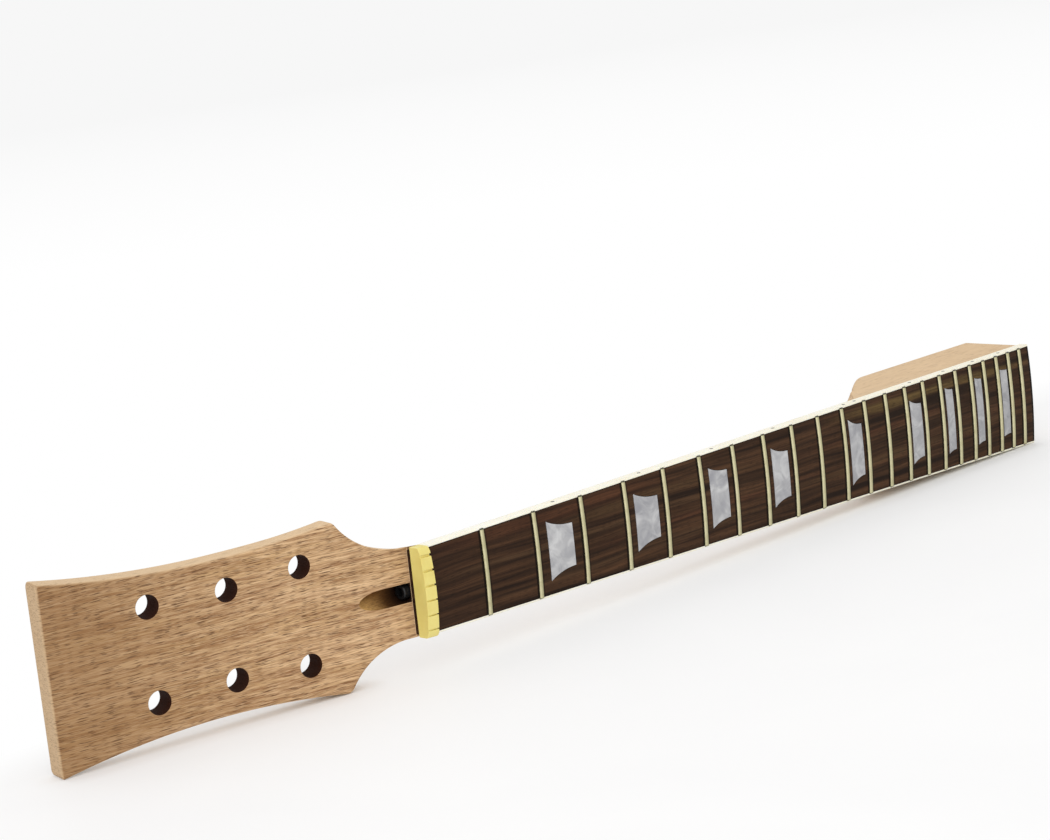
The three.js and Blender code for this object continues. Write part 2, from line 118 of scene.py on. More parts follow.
def tone(red, green, blue):
    """A colour as it looks on a screen, 0 to 255, in the linear values that a shader takes."""
    linear = []
    for part in (red, green, blue):
        share = part / 255
        linear.append(share / 12.92 if share <= 0.04045 else ((share + 0.055) / 1.055) ** 2.4)
    return (*linear, 1.0)


def layered(tree, colour, *layers):
    """Lays colours over a first one, each by its share, and returns the socket of the result."""
    for share, over in layers:
        colour = fit(tree, "ShaderNodeMix", {0: share, 6: colour, 7: over}, data_type="RGBA")[2]
    return colour


def spread(tree, value, low, high, to_low=0.0, to_high=1.0):
    """Maps a value from one range to another, held at both ends."""
    return fit(tree, "ShaderNodeMapRange", {"Value": value, "From Min": low, "From Max": high,
                                            "To Min": to_low, "To Max": to_high})["Result"]


def worked(tree, way, first, second=0.0):
    """Works out one value from two in a way such as ADD, and returns the socket of the result."""
    return fit(tree, "ShaderNodeMath", {0: first, 1: second}, operation=way)[0]


def times(tree, first, second):
    return worked(tree, "MULTIPLY", first, second)


def minus(tree, first, second):
    return worked(tree, "SUBTRACT", first, second)


def direct_view(tree):
    """1 where the camera, a gloss or a clear body looks at the surface, 0 for its light on others."""
    path = fit(tree, "ShaderNodeLightPath")
    seen = worked(tree, "ADD", path["Is Camera Ray"], path["Is Glossy Ray"])
    return worked(tree, "ADD", seen, path["Is Transmission Ray"])


def table_material():
    material = bpy.data.materials.new("white_table")
    material.use_nodes = True
    tree = material.node_tree
    tree.nodes.clear()
    place = fit(tree, "ShaderNodeTexCoord")["Object"]
    clouds = fit(tree, "ShaderNodeTexNoise", {"Vector": place, "Scale": 7.0, "Detail": 3.0,
                                              "Distortion": 0.6})["Fac"]
    speck = fit(tree, "ShaderNodeTexNoise", {"Vector": place, "Scale": 900.0})["Fac"]
    colour = layered(tree, table_white, (spread(tree, clouds, 0.35, 0.75), table_shade))
    bump = fit(tree, "ShaderNodeBump", {"Height": speck, "Strength": 0.05, "Distance": 0.0003})
    paint = fit(tree, "ShaderNodeBsdfPrincipled", {"Base Color": colour, "Roughness": 0.6,
                                                   "Normal": bump["Normal"]})
    distance = fit(tree, "ShaderNodeVectorMath", {0: place}, operation="LENGTH")["Value"]
    depth = fit(tree, "ShaderNodeSeparateXYZ", {"Vector": place})["Y"]
    open_share = fit(tree, "ShaderNodeAmbientOcclusion", {"Distance": table_reach}, samples=4)["AO"]
    own_light = spread(tree, open_share, table_closed_in, 1.0, 0.0, table_own_light)
    away = worked(tree, "MAXIMUM", spread(tree, distance, table_fade_from, table_fade_to),
                  spread(tree, depth, 0.0, table_behind_to))
    away = worked(tree, "MAXIMUM", away, own_light)
    far = spread(tree, distance, table_far_from, table_far_to)
    light = layered(tree, white, (far, (room_seen, room_seen, room_seen, 1)))
    glow = fit(tree, "ShaderNodeEmission", {"Color": light, "Strength": 1.0})
    share = times(tree, away, direct_view(tree))
    blend = fit(tree, "ShaderNodeMixShader", {0: share, 1: paint[0], 2: glow[0]})
    fit(tree, "ShaderNodeOutputMaterial", {"Surface": blend[0]})
    return material


table_mesh = bpy.data.meshes.new("table")
corners = [(sx * table_half, sy * table_half, 0) for sx, sy in ((-1, -1), (1, -1), (1, 1), (-1, 1))]
table_mesh.from_pydata(corners, [], [(0, 1, 2, 3)])
table_mesh.materials.append(table_material())
table = put("table", table_mesh)

world = bpy.data.worlds.new("white_room")
world.use_nodes = True
room = world.node_tree
room.nodes.clear()
fill = fit(room, "ShaderNodeBackground", {"Color": white, "Strength": room_strength})
seen_room = fit(room, "ShaderNodeBackground", {"Color": white, "Strength": room_seen})
either = fit(room, "ShaderNodeMixShader", {0: direct_view(room), 1: fill[0], 2: seen_room[0]})
fit(room, "ShaderNodeOutputWorld", {"Surface": either[0]})
bpy.context.scene.world = world

for name, place, size, power in lamps:
    lamp_data = bpy.data.lights.new(name, "AREA")
    lamp_data.shape = "SQUARE"
    lamp_data.size = size
    lamp_data.energy = power
    put(name, lamp_data).matrix_world = aimed(place, Vector((0, 0, 0)))


# Neck wood
# One plank of raw mahogany, sawn to the headstock's outline, carved to a round grip and left
# square at the heel. It is bored for six tuners and routed for the truss rod and its key slot.
millimetre = 0.001
rod_depth_under_crown = 11.7
board_thickness = 6.4
board_radius = 305
board_past_last_fret = 8.9
scale_length = 628.65
fret_count = 22
notes_per_octave = 12
nut_width = 42.3
board_width_at_nut = 41.3
board_width_at_last_fret = 56.3
nut_thickness = 5.8
head_face_drop = 6.7
head_angle = math.radians(11)
head_length = 177.4
head_root_thickness = 14.5
head_tip_thickness = 12.4
head_thinning_length = 45
head_tip_width = 85.6
head_wing_width = 79.4
head_side_hollow = 6.05
head_drift = 0.8
head_shoulder_radius = 39
head_shoulder_start = 2.4
head_blend_length = 30
head_edge_round = 1.4
head_back_round = 3.8
head_back_round_from = 92
head_back_round_to = 52
head_tip_round = 1.6
wing_round = 2.6
wing_turn_share = 0.55
seam_edge_round = 0.05
seat_step = 0.1
edge_steps = 4
flank_steps = 20
shaft_lean = math.radians(20)
shaft_flat_share = 0.06
squaring_power = 4
grip_depth_at_nut = 21.3
grip_depth_at_heel = 24.0
heel_depth = 44
heel_length = 94.5
heel_setback = 2.0
heel_side_inset = 0.3
heel_corner = 2.0
heel_edge_round = 0.4
heel_ramp_length = 56
heel_ramp_shares = [
    (0, 0), (0.1, 0.02), (0.2, 0.17), (0.3, 0.31), (0.43, 0.475), (0.56, 0.625), (0.68, 0.75),
    (0.8, 0.869), (0.88, 0.941), (0.94, 0.982), (0.975, 0.997), (1, 1),
]
tuner_hole_radius = 5.4
tuner_hole_chamfer = 0.08
tuner_hole_back_chamfer = 0.8
tuner_hole_places = (128.8, 91.0, 54.6)
tuner_hole_insets = (15.0, 14.8, 14.7)
tuner_rows_shift = 1.1
key_slot_radius = 4.5
key_slot_reach = 27.2
key_slot_angle = math.radians(20)
rod_front = 8.7
rod_end = 428.3
rod_channel_half = 3.7
rod_channel_depth = 3.7
rod_pocket_end = 2.2
weld_distance = 0.0005
same_plane_angle = math.radians(0.1)
flat_face_area = 60
grain_depth = 5.0

# All pieces are drawn in the neck's own directions, in millimetres: x from the nut to the heel, y
# across to the bass edge, z out of the fingerboard's face. Lay brings that to where the neck lies.
joint = frame["joints"][0]
heel_back = next(m for m in frame["record"]["mounts"] if m["name"] == "heel_back")
towards_heel = Vector(joint["axis"]).normalized()
out_of_board = -Vector(heel_back["axis"]).normalized()
towards_bass = out_of_board.cross(towards_heel)
turn = Matrix((towards_heel, towards_bass, out_of_board)).transposed()
nut_line = Vector(joint["pos_m"]) + rod_depth_under_crown * millimetre * out_of_board
lay = Matrix.Translation(nut_line) @ turn.to_4x4() @ Matrix.Scale(millimetre, 4)


def between(first, second, share):
    return first + (second - first) * share


def stations(first, last, steps):
    """Values at even steps from first to last."""
    return [between(first, last, i / steps) for i in range(steps + 1)]


def arc(steps, whole=math.pi / 2):
    """The cosines and sines at even steps of an angle that grows from nothing to the whole."""
    angles = [whole * i / steps for i in range(steps + 1)]
    return [(math.cos(angle), math.sin(angle)) for angle in angles]


def pulled(first, pull, last, share):
    """A curve from first to last that is drawn towards pull on its way."""
    return first * (1 - share) ** 2 + pull * 2 * share * (1 - share) + last * share ** 2


def eased(share):
    share = min(1.0, max(0.0, share))
    return share * share * (3 - 2 * share)


def fret_place(number):
    return scale_length * (1 - 2 ** (-number / notes_per_octave))


board_end = fret_place(fret_count) + board_past_last_fret
board_taper = (board_width_at_last_fret - board_width_at_nut) / (2 * fret_place(fret_count))


def board_half(x):
    """Half the width over the binding, at a place along the neck."""
    return board_width_at_nut / 2 + board_taper * x


def crowned(x, across, above):
    """A point over the board's crowned face, or under it, at a place across the board."""
    reach = board_radius + above
    return Vector((x, across, math.sqrt(reach * reach - across * across) - board_radius))


wing_rise = head_wing_width / 2 - nut_width / 2
wing_place = head_shoulder_start + math.sqrt(
    head_shoulder_radius ** 2 - (head_shoulder_radius - wing_rise) ** 2)


def head_half(place):
    """Half the headstock's width at a distance from the nut's back."""
    if place <= head_shoulder_start:
        return nut_width / 2
    if place < wing_place:
        run = place - head_shoulder_start
        return nut_width / 2 + head_shoulder_radius - math.sqrt(head_shoulder_radius ** 2 - run ** 2)
    share = (place - wing_place) / (head_length - wing_place)
    chord = between(head_wing_width, head_tip_width, share) / 2
    return chord - head_side_hollow * (1 - (2 * share - 1) ** 2)


def head_thickness(place):
    return between(head_root_thickness, head_tip_thickness, eased(place / head_thinning_length))


def head_middle(place):
    """The sawn outline drifts towards the bass edge between the nut and the tip."""
    return head_drift * math.sin(math.pi * place / head_length)


def head_point(place, across, deep):
    """A point of the headstock, by its place from the nut's back and its depth below the face."""
    run = nut_thickness + place * math.cos(head_angle) - deep * math.sin(head_angle)
    drop = head_face_drop + place * math.sin(head_angle) + deep * math.cos(head_angle)
    return Vector((-run, across, -drop))


def wood_ring(x, z, tilt, half, depth, edge, side, lean, flat, inset=0.0, middle=0.0):
    """One section of the wood: a flat top with rounded edges, sides, and a round or square back."""
    down = Vector((math.sin(tilt), 0, -math.cos(tilt)))
    rise = (depth - side) / (1 - math.sin(lean))
    reach = (half - flat) / math.cos(lean)
    flank = [(half - edge + edge * sine, edge - edge * cosine) for cosine, sine in arc(edge_steps)]
    for angle in stations(lean, math.pi / 2, flank_steps):
        flank.append((flat + reach * math.cos(angle), depth - rise + rise * math.sin(angle)))
    across_share = (half - inset) / half
    deep_share = (depth - 2 * inset) / depth
    flank = [(across * across_share, inset + deep * deep_share) for across, deep in flank]
    section = flank + [(-across, deep) for across, deep in reversed(flank)]
    return [Vector((x, across + middle, z)) + down * deep for across, deep in section]


def wood_shape(half, depth, edge, corner, share):
    """From the rounded grip, share 0, to a square block with small corners, share 1."""
    square = share ** squaring_power
    return {
        "half": half,
        "depth": depth,
        "edge": edge,
        "side": between(2 * edge, depth - corner, share),
        "lean": between(shaft_lean, 0, square),
        "flat": between(shaft_flat_share * half, half - corner, square),
    }


def head_ring(place, half, inset=0.0):
    top = head_point(place, 0, 0)
    share = eased(place / head_blend_length)
    edge = between(seam_edge_round, head_edge_round, share)
    back = between(head_edge_round, head_back_round, eased(
        (head_back_round_from - place) / (head_back_round_from - head_back_round_to)))
    shape = wood_shape(half, head_thickness(place), edge, back, share)
    return wood_ring(top.x, top.z, head_angle, **shape, inset=inset, middle=head_middle(place))


def head_rings():
    """From the tip, with its rounded corners, along the hollow sides and down the shoulders."""
    corner_steps = 6
    side_steps = 26
    wing_steps = 8
    shoulder_steps = 26
    rings = []
    for cosine, sine in reversed(arc(corner_steps)[1:]):
        place = head_length - head_tip_round * (1 - sine)
        half = head_half(place) - head_tip_round * (1 - cosine)
        into_end = max(0.0, place - (head_length - head_edge_round)) / head_edge_round
        inset = head_edge_round * (1 - math.sqrt(max(0.0, 1 - into_end ** 2)))
        rings.append(head_ring(place, half, inset))
    side_to = wing_place + wing_round
    for place in stations(head_length - head_tip_round, side_to, side_steps):
        rings.append(head_ring(place, head_half(place)))
    shoulder_from = wing_place - wing_round * wing_turn_share
    places = (side_to, wing_place, shoulder_from)
    halves = [head_half(place) for place in places]
    for i in range(1, wing_steps + 1):
        share = i / wing_steps
        rings.append(head_ring(pulled(*places, share), pulled(*halves, share)))
    for i in range(1, shoulder_steps):
        share = math.sin(math.pi / 2 * (1 - i / shoulder_steps))
        place = between(head_shoulder_start, shoulder_from, share)
        rings.append(head_ring(place, head_half(place)))
    return rings


def bend_rings():
    """Where the head turns into the shaft, and steps up to the seat of nut and fingerboard."""
    shape = wood_shape(nut_width / 2, head_root_thickness, seam_edge_round, head_edge_round, 0)
    return [wood_ring(-nut_thickness, -head_face_drop, head_angle / 2, **shape),
            wood_ring(-nut_thickness + seat_step, -board_thickness, head_angle / 2, **shape)]


def shaft_rings():
    """The grip, then the ramp that deepens into the heel block, then the block's end."""
    grip_steps = 18
    ramp_steps = 4
    top = -board_thickness
    heel_end = board_end - heel_setback
    ramp_end = heel_end - heel_length
    ramp_start = ramp_end - heel_ramp_length

    def ring(x, reach, inset=0.0):
        grip = between(grip_depth_at_nut, grip_depth_at_heel, min(1, x / ramp_start))
        depth = max(grip, reach) + top
        share = max(0, min(1, (reach + top) / (grip + top)))
        half = board_half(x) - heel_side_inset * share
        shape = wood_shape(half, depth, seam_edge_round, heel_corner, share)
        shape["side"] = min(max(reach + top, 2 * seam_edge_round), depth - heel_corner)
        return wood_ring(x, top, 0, **shape, inset=inset)

    rings = [ring(x, 0) for x in stations(0, ramp_start, grip_steps)[:-1]]
    for (along, rise), (next_along, next_rise) in zip(heel_ramp_shares, heel_ramp_shares[1:]):
        for i in range(ramp_steps):
            share = i / ramp_steps
            x = between(ramp_start, ramp_end, between(along, next_along, share))
            rings.append(ring(x, between(board_thickness, heel_depth, between(rise, next_rise, share))))
    rings.append(ring(ramp_end, heel_depth))
    for cosine, sine in arc(edge_steps):
        rings.append(ring(heel_end - heel_edge_round * (1 - sine), heel_depth,
                          heel_edge_round * (1 - cosine)))
    return rings


def loft(rings):
    """Points and faces of a skin over rings of equal count, closed by a flat cap at each end."""
    count = len(rings[0])
    points = [point for ring in rings for point in ring]
    faces = []
    for r in range(len(rings) - 1):
        for i in range(count):
            a = r * count + i
            b = r * count + (i + 1) % count
            faces.append((a, b, b + count, a + count))
    last = (len(rings) - 1) * count
    faces.append(tuple(reversed(range(count))))
    faces.append(tuple(range(last, last + count)))
    return points, faces


def solid(name, *shapes, finish=0):
    """An object in the neck's millimetres from one or more closed shapes, its faces turned outwards.
    Finish is the number of the material that its faces bear, or leave where they cut."""
    mesh = bpy.data.meshes.new(name)
    shell = bmesh.new()
    for points, faces in shapes:
        corners = [shell.verts.new(point) for point in points]
        for face in faces:
            shell.faces.new([corners[i] for i in face]).material_index = finish
    bmesh.ops.remove_doubles(shell, verts=shell.verts, dist=weld_distance)
    bmesh.ops.recalc_face_normals(shell, faces=shell.faces)
    shell.to_mesh(mesh)
    shell.free()
    for _ in range(finish + 1):
        mesh.materials.append(None)
    return put(name, mesh)


def settle(piece):
    """Makes the modifiers' result the piece's own mesh."""
    whole = piece.evaluated_get(bpy.context.evaluated_depsgraph_get())
    mesh = bpy.data.meshes.new_from_object(whole)
    piece.modifiers.clear()
    old = piece.data
    piece.data = mesh
    bpy.data.meshes.remove(old)


def join_flats(piece):
    """Makes one face of faces that lie in one plane, so that the cuts leave no seams in it."""
    shell = bmesh.new()
    shell.from_mesh(piece.data)
    bmesh.ops.dissolve_limit(shell, angle_limit=same_plane_angle, verts=shell.verts, edges=shell.edges)
    shell.to_mesh(piece.data)
    shell.free()


def cut(piece, tool, way="DIFFERENCE"):
    """Cuts a tool's shape out of a piece, adds it, or keeps what both share, and drops the tool."""
    saw = piece.modifiers.new("cut", "BOOLEAN")
    saw.operation = way
    saw.solver = "EXACT"
    saw.object = tool
    saw.material_mode = "INDEX"
    settle(piece)
    shape = tool.data
    bpy.data.objects.remove(tool)
    bpy.data.meshes.remove(shape)


def soften(piece, width, steps, angle):
    """Rounds the edges of a piece that are sharper than an angle, by a width in millimetres."""
    bevel = piece.modifiers.new("edges", "BEVEL")
    bevel.width = width
    bevel.segments = steps
    bevel.limit_method = "ANGLE"
    bevel.angle_limit = angle
    settle(piece)


def present(piece, material, nodes, body="root", crease=math.radians(38), inner=()):
    """Shades a finished piece, lays it in its place and ties it to the frame."""
    piece.data.shade_smooth()
    piece.data.set_sharp_from_angle(angle=crease)
    piece.modifiers.new("even_shading", "WEIGHTED_NORMAL").keep_sharp = True
    settle(piece)
    mesh = piece.data
    mesh.name = piece.name
    for face in mesh.polygons:
        if face.area > flat_face_area:
            face.use_smooth = False
    mesh.transform(lay)
    for index, finish in enumerate((material, *inner)):
        if index < len(mesh.materials):
            mesh.materials[index] = finish
        else:
            mesh.materials.append(finish)
    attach(piece, body)
    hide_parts(*nodes)


def round_bar(start, end, profile, steps=48):
    """A turned bar from start to end; the profile lists its shares of the length and its radii."""
    along = end - start
    first = along.orthogonal().normalized()
    second = along.normalized().cross(first)
    circle = arc(steps, 2 * math.pi)[:-1]
    rings = []
    for share, radius in profile:
        middle = start + along * share
        rings.append([middle + (first * cosine + second * sine) * radius for cosine, sine in circle])
    return loft(rings)


def block(low, high):
    """A plain box between two corners, as a cutting shape."""
    ring = [(low[1], low[2]), (high[1], low[2]), (high[1], high[2]), (low[1], high[2])]
    return loft([[Vector((x, y, z)) for y, z in ring] for x in (low[0], high[0])])


def tuner_hole_shapes():
    over = 2.0
    shapes = []
    for place, hole_inset in zip(tuner_hole_places, tuner_hole_insets):
        for side in (1, -1):
            across = side * (head_half(place) - hole_inset) + tuner_rows_shift
            thickness = head_thickness(place)
            length = thickness + 2 * over
            profile = [
                (0, tuner_hole_radius + tuner_hole_chamfer + over),
                ((over + tuner_hole_chamfer) / length, tuner_hole_radius),
                (1 - (over + tuner_hole_back_chamfer) / length, tuner_hole_radius),
                (1, tuner_hole_radius + tuner_hole_back_chamfer + over),
            ]
            shapes.append(round_bar(head_point(place, across, -over),
                                    head_point(place, across, thickness + over), profile))
    return shapes


def key_slot_shape():
    """Round-bottomed: its floor slants down towards the rod's nut."""
    floor_steps = 24
    high = 7.0
    over = 2.0

    def ring(place):
        middle = (key_slot_reach - place) * math.tan(key_slot_angle) - key_slot_radius
        section = [(-key_slot_radius, -high)]
        for cosine, sine in arc(floor_steps, math.pi):
            section.append((-key_slot_radius * cosine, middle + key_slot_radius * sine))
        section.append((key_slot_radius, -high))
        return [head_point(place, across, deep) for across, deep in section]

    return loft([ring(0), ring(key_slot_reach + over)])


def rod_channel_shapes():
    """The round pocket of the rod's nut, and the square channel that meets it."""
    overlap = 0.01
    axis = -rod_depth_under_crown
    pocket = round_bar(Vector((-rod_front, 0, axis)), Vector((rod_pocket_end, 0, axis)),
                       [(0, key_slot_radius), (1, key_slot_radius)])
    channel = block((rod_pocket_end - overlap, -rod_channel_half, axis - rod_channel_depth),
                    (rod_end, rod_channel_half, 0.0))
    return pocket, channel


def new_group(name, values, vectors=(), **inputs):
    """Starts a node group with named outputs and inputs; returns it and what its inputs bring."""
    group = bpy.data.node_groups.new(name, "ShaderNodeTree")
    for names, kind in ((values, "NodeSocketFloat"), (vectors, "NodeSocketVector")):
        for output in names:
            group.interface.new_socket(output, in_out="OUTPUT", socket_type=kind)
    for given, value in inputs.items():
        if isinstance(value, tuple):
            group.interface.new_socket(given, in_out="INPUT", socket_type="NodeSocketVector")
        else:
            socket = group.interface.new_socket(given, in_out="INPUT", socket_type="NodeSocketFloat")
            socket.default_value = value
    return group, group.nodes.new("NodeGroupInput").outputs


def use(tree, group, **inputs):
    """Places a node group in a material and returns its outputs."""
    return fit(tree, "ShaderNodeGroup", inputs, node_tree=group)


def neck_directions():
    """Node group: where a point lies in the neck's own directions, in millimetres, and its facing."""
    group, _ = new_group("neck_directions", ("Along", "Across", "Facing along", "Facing across"),
                         ("Place",))
    coordinates = fit(group, "ShaderNodeTexCoord")
    back_turn = turn.transposed().to_euler()
    place = fit(group, "ShaderNodeMapping", {
        "Vector": coordinates["Object"], "Location": lay.inverted().translation,
        "Rotation": back_turn, "Scale": (1 / millimetre,) * 3})[0]
    facing = fit(group, "ShaderNodeMapping", {"Vector": coordinates["Normal"], "Rotation": back_turn})[0]
    at = fit(group, "ShaderNodeSeparateXYZ", {"Vector": place})
    faces = fit(group, "ShaderNodeSeparateXYZ", {"Vector": facing})
    fit(group, "NodeGroupOutput", {"Place": place, "Along": at["X"], "Across": at["Y"],
                                   "Facing along": faces["X"], "Facing across": faces["Y"]})
    return group


def stretched(tree, place, along, across, deep):
    """Squeezes a place so that one unit is so many millimetres along, across and deep."""
    size = fit(tree, "ShaderNodeCombineXYZ", {"X": along, "Y": across, "Z": deep})[0]
    return fit(tree, "ShaderNodeVectorMath", {0: place, 1: size}, operation="DIVIDE")[0]


def noise(tree, cell, detail, **more):
    """Soft noise in stretched cells; returns its value and its colour."""
    return fit(tree, "ShaderNodeTexNoise", {"Vector": cell, "Scale": 1.0, "Detail": detail, **more})


def pore_group():
    """Node group: short dark pores that lie along the grain, each a thin ellipse."""
    group, given = new_group("pores", ("Mask",), Place=(0, 0, 0), Length=5.0, Width=0.5, Share=0.5)
    deep = times(group, given["Width"], grain_depth)
    cell = stretched(group, given["Place"], given["Length"], given["Width"], deep)
    dots = fit(group, "ShaderNodeTexVoronoi", {"Vector": cell, "Scale": 1.0, "Randomness": 1.0})
    soft = spread(group, dots["Distance"], 0.2, 0.4, 1.0, 0.0)
    picked = fit(group, "ShaderNodeSeparateColor", {"Color": dots["Color"]})["Red"]
    chosen = worked(group, "LESS_THAN", picked, given["Share"])
    uneven = times(group, chosen, spread(group, picked, 0.0, 0.6, 1.0, 0.35))
    fit(group, "NodeGroupOutput", {"Mask": times(group, soft, uneven)})
    return group


def fibre_group():
    """Node group: grain that wanders a little, as broad bands and as fine fibres."""
    group, given = new_group("fibres", ("Bands", "Fibres"), ("Wandered",), Place=(0, 0, 0),
                             Wander=2.0, Band=6.0, Fibre=0.5, Reach=60.0)
    slow = noise(group, stretched(group, given["Place"], 90.0, 24.0, 24.0), 2.0)
    lean = fit(group, "ShaderNodeVectorMath", {0: slow["Color"], 1: (0.5, 0.5, 0.5)},
               operation="SUBTRACT")[0]
    shift = fit(group, "ShaderNodeVectorMath", {0: lean, 3: given["Wander"]}, operation="SCALE")[0]
    place = fit(group, "ShaderNodeVectorMath", {0: given["Place"], 1: shift})[0]
    bands = noise(group, stretched(group, place, given["Reach"], given["Band"],
                                   times(group, given["Band"], grain_depth)), 3.0, Roughness=0.55)
    short = worked(group, "DIVIDE", given["Reach"], 5.0)
    fine = noise(group, stretched(group, place, short, given["Fibre"],
                                  times(group, given["Fibre"], grain_depth)), 3.0, Roughness=0.6)
    fit(group, "NodeGroupOutput", {"Bands": bands["Fac"], "Fibres": fine["Fac"], "Wandered": place})
    return group


directions = neck_directions()
pores = pore_group()
fibres = fibre_group()


def new_material(name):
    """Starts a material; returns it, its tree and the neck's directions in it."""
    material = bpy.data.materials.new(name)
    material.use_nodes = True
    return material, material.node_tree, use(material.node_tree, directions)


def dress(material, colour, roughness, relief, strength, height, more=None):
    """Gives a material its colour, its roughness and a relief of a height in metres."""
    tree = material.node_tree
    bump = fit(tree, "ShaderNodeBump", {"Height": relief, "Strength": strength, "Distance": height})
    feed(tree, tree.nodes["Principled BSDF"], {
        "Base Color": colour, "Roughness": roughness, "Normal": bump["Normal"], **(more or {})})
    return material


def mahogany_material():
    """Sanded faces show the pores; the sides, sawn along the fibres, are paler and smoother. The faces
    turned sideways and endways also carry a painted highlight.
    """
    material, tree, where = new_material("raw_mahogany")
    grain = use(tree, fibres, Place=where["Place"], Wander=2.0, Band=8.0, Fibre=0.5, Reach=120.0)
    place = grain["Wandered"]
    streaks = use(tree, fibres, Place=place, Wander=1.0, Band=1.5, Fibre=0.35, Reach=60.0)
    long_pores = use(tree, pores, Place=place, Length=12.0, Width=0.52, Share=0.5)
    short_pores = use(tree, pores, Place=place, Length=5.0, Width=0.42, Share=0.5)
    brown_bands = spread(tree, grain["Bands"], 0.34, 0.66)
    dark_streaks = spread(tree, streaks["Bands"], 0.4, 0.66, 0.0, 0.9)
    dark_fibres = spread(tree, grain["Fibres"], 0.42, 0.66, 0.0, 0.75)
    pale_fibres = spread(tree, streaks["Fibres"], 0.48, 0.7, 0.0, 0.7)
    # Painted shade: the headstock's face darkens towards the tip.
    shade_towards_tip = spread(tree, where["Along"], -160.0, -70.0, 0.6, 0.0)
    face = layered(tree, tone(229, 192, 148), (brown_bands, tone(200, 162, 114)),
                   (dark_streaks, tone(152, 110, 72)), (dark_fibres, tone(142, 101, 64)),
                   (pale_fibres, tone(235, 201, 160)), (shade_towards_tip, tone(136, 98, 58)))
    # Painted highlight: sides are paler partly as sawn wood and partly as painted light; ends are paler as painted
    # light.
    side_paleness_and_highlight = spread(tree, worked(tree, "ABSOLUTE", where["Facing across"]), 0.45, 0.95)
    end_highlight = spread(tree, worked(tree, "ABSOLUTE", where["Facing along"]), 0.5, 0.95, 0.0, 0.75)
    side = worked(tree, "MAXIMUM", side_paleness_and_highlight, end_highlight)
    marks = worked(tree, "MAXIMUM", long_pores["Mask"], short_pores["Mask"])
    faint = times(tree, marks, spread(tree, side, 0.0, 1.0, 1.0, 0.2))
    colour = layered(tree, face, (times(tree, side, 0.85), tone(222, 193, 155)), (faint, tone(86, 54, 30)))
    roughness = spread(tree, grain["Fibres"], 0.3, 0.7, 0.62, 0.78)
    relief = minus(tree, times(tree, grain["Fibres"], 0.35), marks)
    return dress(material, colour, roughness, relief, 0.5, 0.0002, {"Specular IOR Level": 0.3})


def bored_mahogany_material():
    """Walls of holes and channels: rough end grain, coloured dark. The key slot's floor carries
    painted light and shade: paler from its bass side to its treble side, darker deeper in, and
    nearly black near the rod."""
    material, tree, where = new_material("bored_mahogany")
    marks = use(tree, fibres, Place=where["Place"], Wander=1.0, Band=2.0, Fibre=0.4, Reach=12.0)
    in_slot = spread(tree, where["Along"], -key_slot_reach - 12, -key_slot_reach - 10)
    # Painted light and shade in the key slot: lit pale on the treble side, shaded towards the bass side and deeper
    # in, nearly black near the rod.
    shade_to_bass = spread(tree, where["Across"], -3.6, 3.2)
    shade_deep_in_slot = spread(tree, where["Along"], -28.0, -16.0)
    shade_near_rod = spread(tree, where["Along"], -20.0, -10.0, 0.0, 0.92)
    dark_fibres = spread(tree, marks["Fibres"], 0.4, 0.7, 0.0, 0.5)
    floor = layered(tree, tone(206, 162, 100), (shade_to_bass, tone(100, 64, 24)),
                    (shade_deep_in_slot, tone(110, 74, 38)))
    wood = layered(tree, tone(58, 27, 12), (in_slot, floor), (shade_near_rod, tone(30, 14, 7)),
                   (dark_fibres, tone(44, 22, 11)))
    roughness = spread(tree, marks["Bands"], 0.3, 0.7, 0.75, 0.9)
    return dress(material, wood, roughness, marks["Fibres"], 0.5, 0.0002, {"Specular IOR Level": 0.1})


neck_wood = solid("neck_wood", loft(head_rings() + bend_rings() + shaft_rings()))
neck_wood.data.materials.append(None)
join_flats(neck_wood)
cut(neck_wood, solid("key_slot_router", key_slot_shape(), finish=1))
cut(neck_wood, solid("tuner_drill", *tuner_hole_shapes(), finish=1))
pocket_shape, channel_shape = rod_channel_shapes()
cut(neck_wood, solid("pocket_drill", pocket_shape, finish=1))
cut(neck_wood, solid("channel_router", channel_shape, finish=1))
present(neck_wood, mahogany_material(), ["neck"], inner=[bored_mahogany_material()])


# Truss rod
# A steel rod under a flat steel bar, welded into a block at each end, lies in the channel under
# the fingerboard. The black socket nut at its front end is turned with a hex key in the slot.
rod_nut_radius = 3.6
rod_nut_length = 9.0
rod_nut_front = 8.4
rod_nut_chamfer = 0.5
rod_radius = 2.0
hex_across_flats = 4.0
hex_depth = 4.5


def wear_group():
    """Node group: the marks that handling and tools leave, as soft smudges and fine scratches."""
    group, given = new_group("wear", ("Smudges", "Scratches"), Place=(0, 0, 0), Smudge=8.0,
                             Along=12.0, Across=0.2)
    smudge = given["Smudge"]
    smudges = noise(group, stretched(group, given["Place"], smudge, smudge, smudge), 4.0)
    scratches = noise(group, stretched(group, given["Place"], given["Along"], given["Across"],
                                       given["Across"]), 2.0)
    fit(group, "NodeGroupOutput", {"Smudges": smudges["Fac"], "Scratches": scratches["Fac"]})
    return group


wear = wear_group()


def steel_material(name, colour, stain, roughness, metallic):
    """Turned or drawn steel: fine lines across it, a little uneven in tone."""
    material, tree, where = new_material(name)
    marks = use(tree, wear, Place=where["Place"], Smudge=5.0, Along=0.15, Across=6.0)
    uneven = layered(tree, colour, (spread(tree, marks["Smudges"], 0.4, 0.7), stain))
    lined = spread(tree, marks["Scratches"], 0.3, 0.7, roughness - 0.08, roughness + 0.1)
    return dress(material, uneven, lined, marks["Scratches"], 0.15, 0.00005, {"Metallic": metallic})


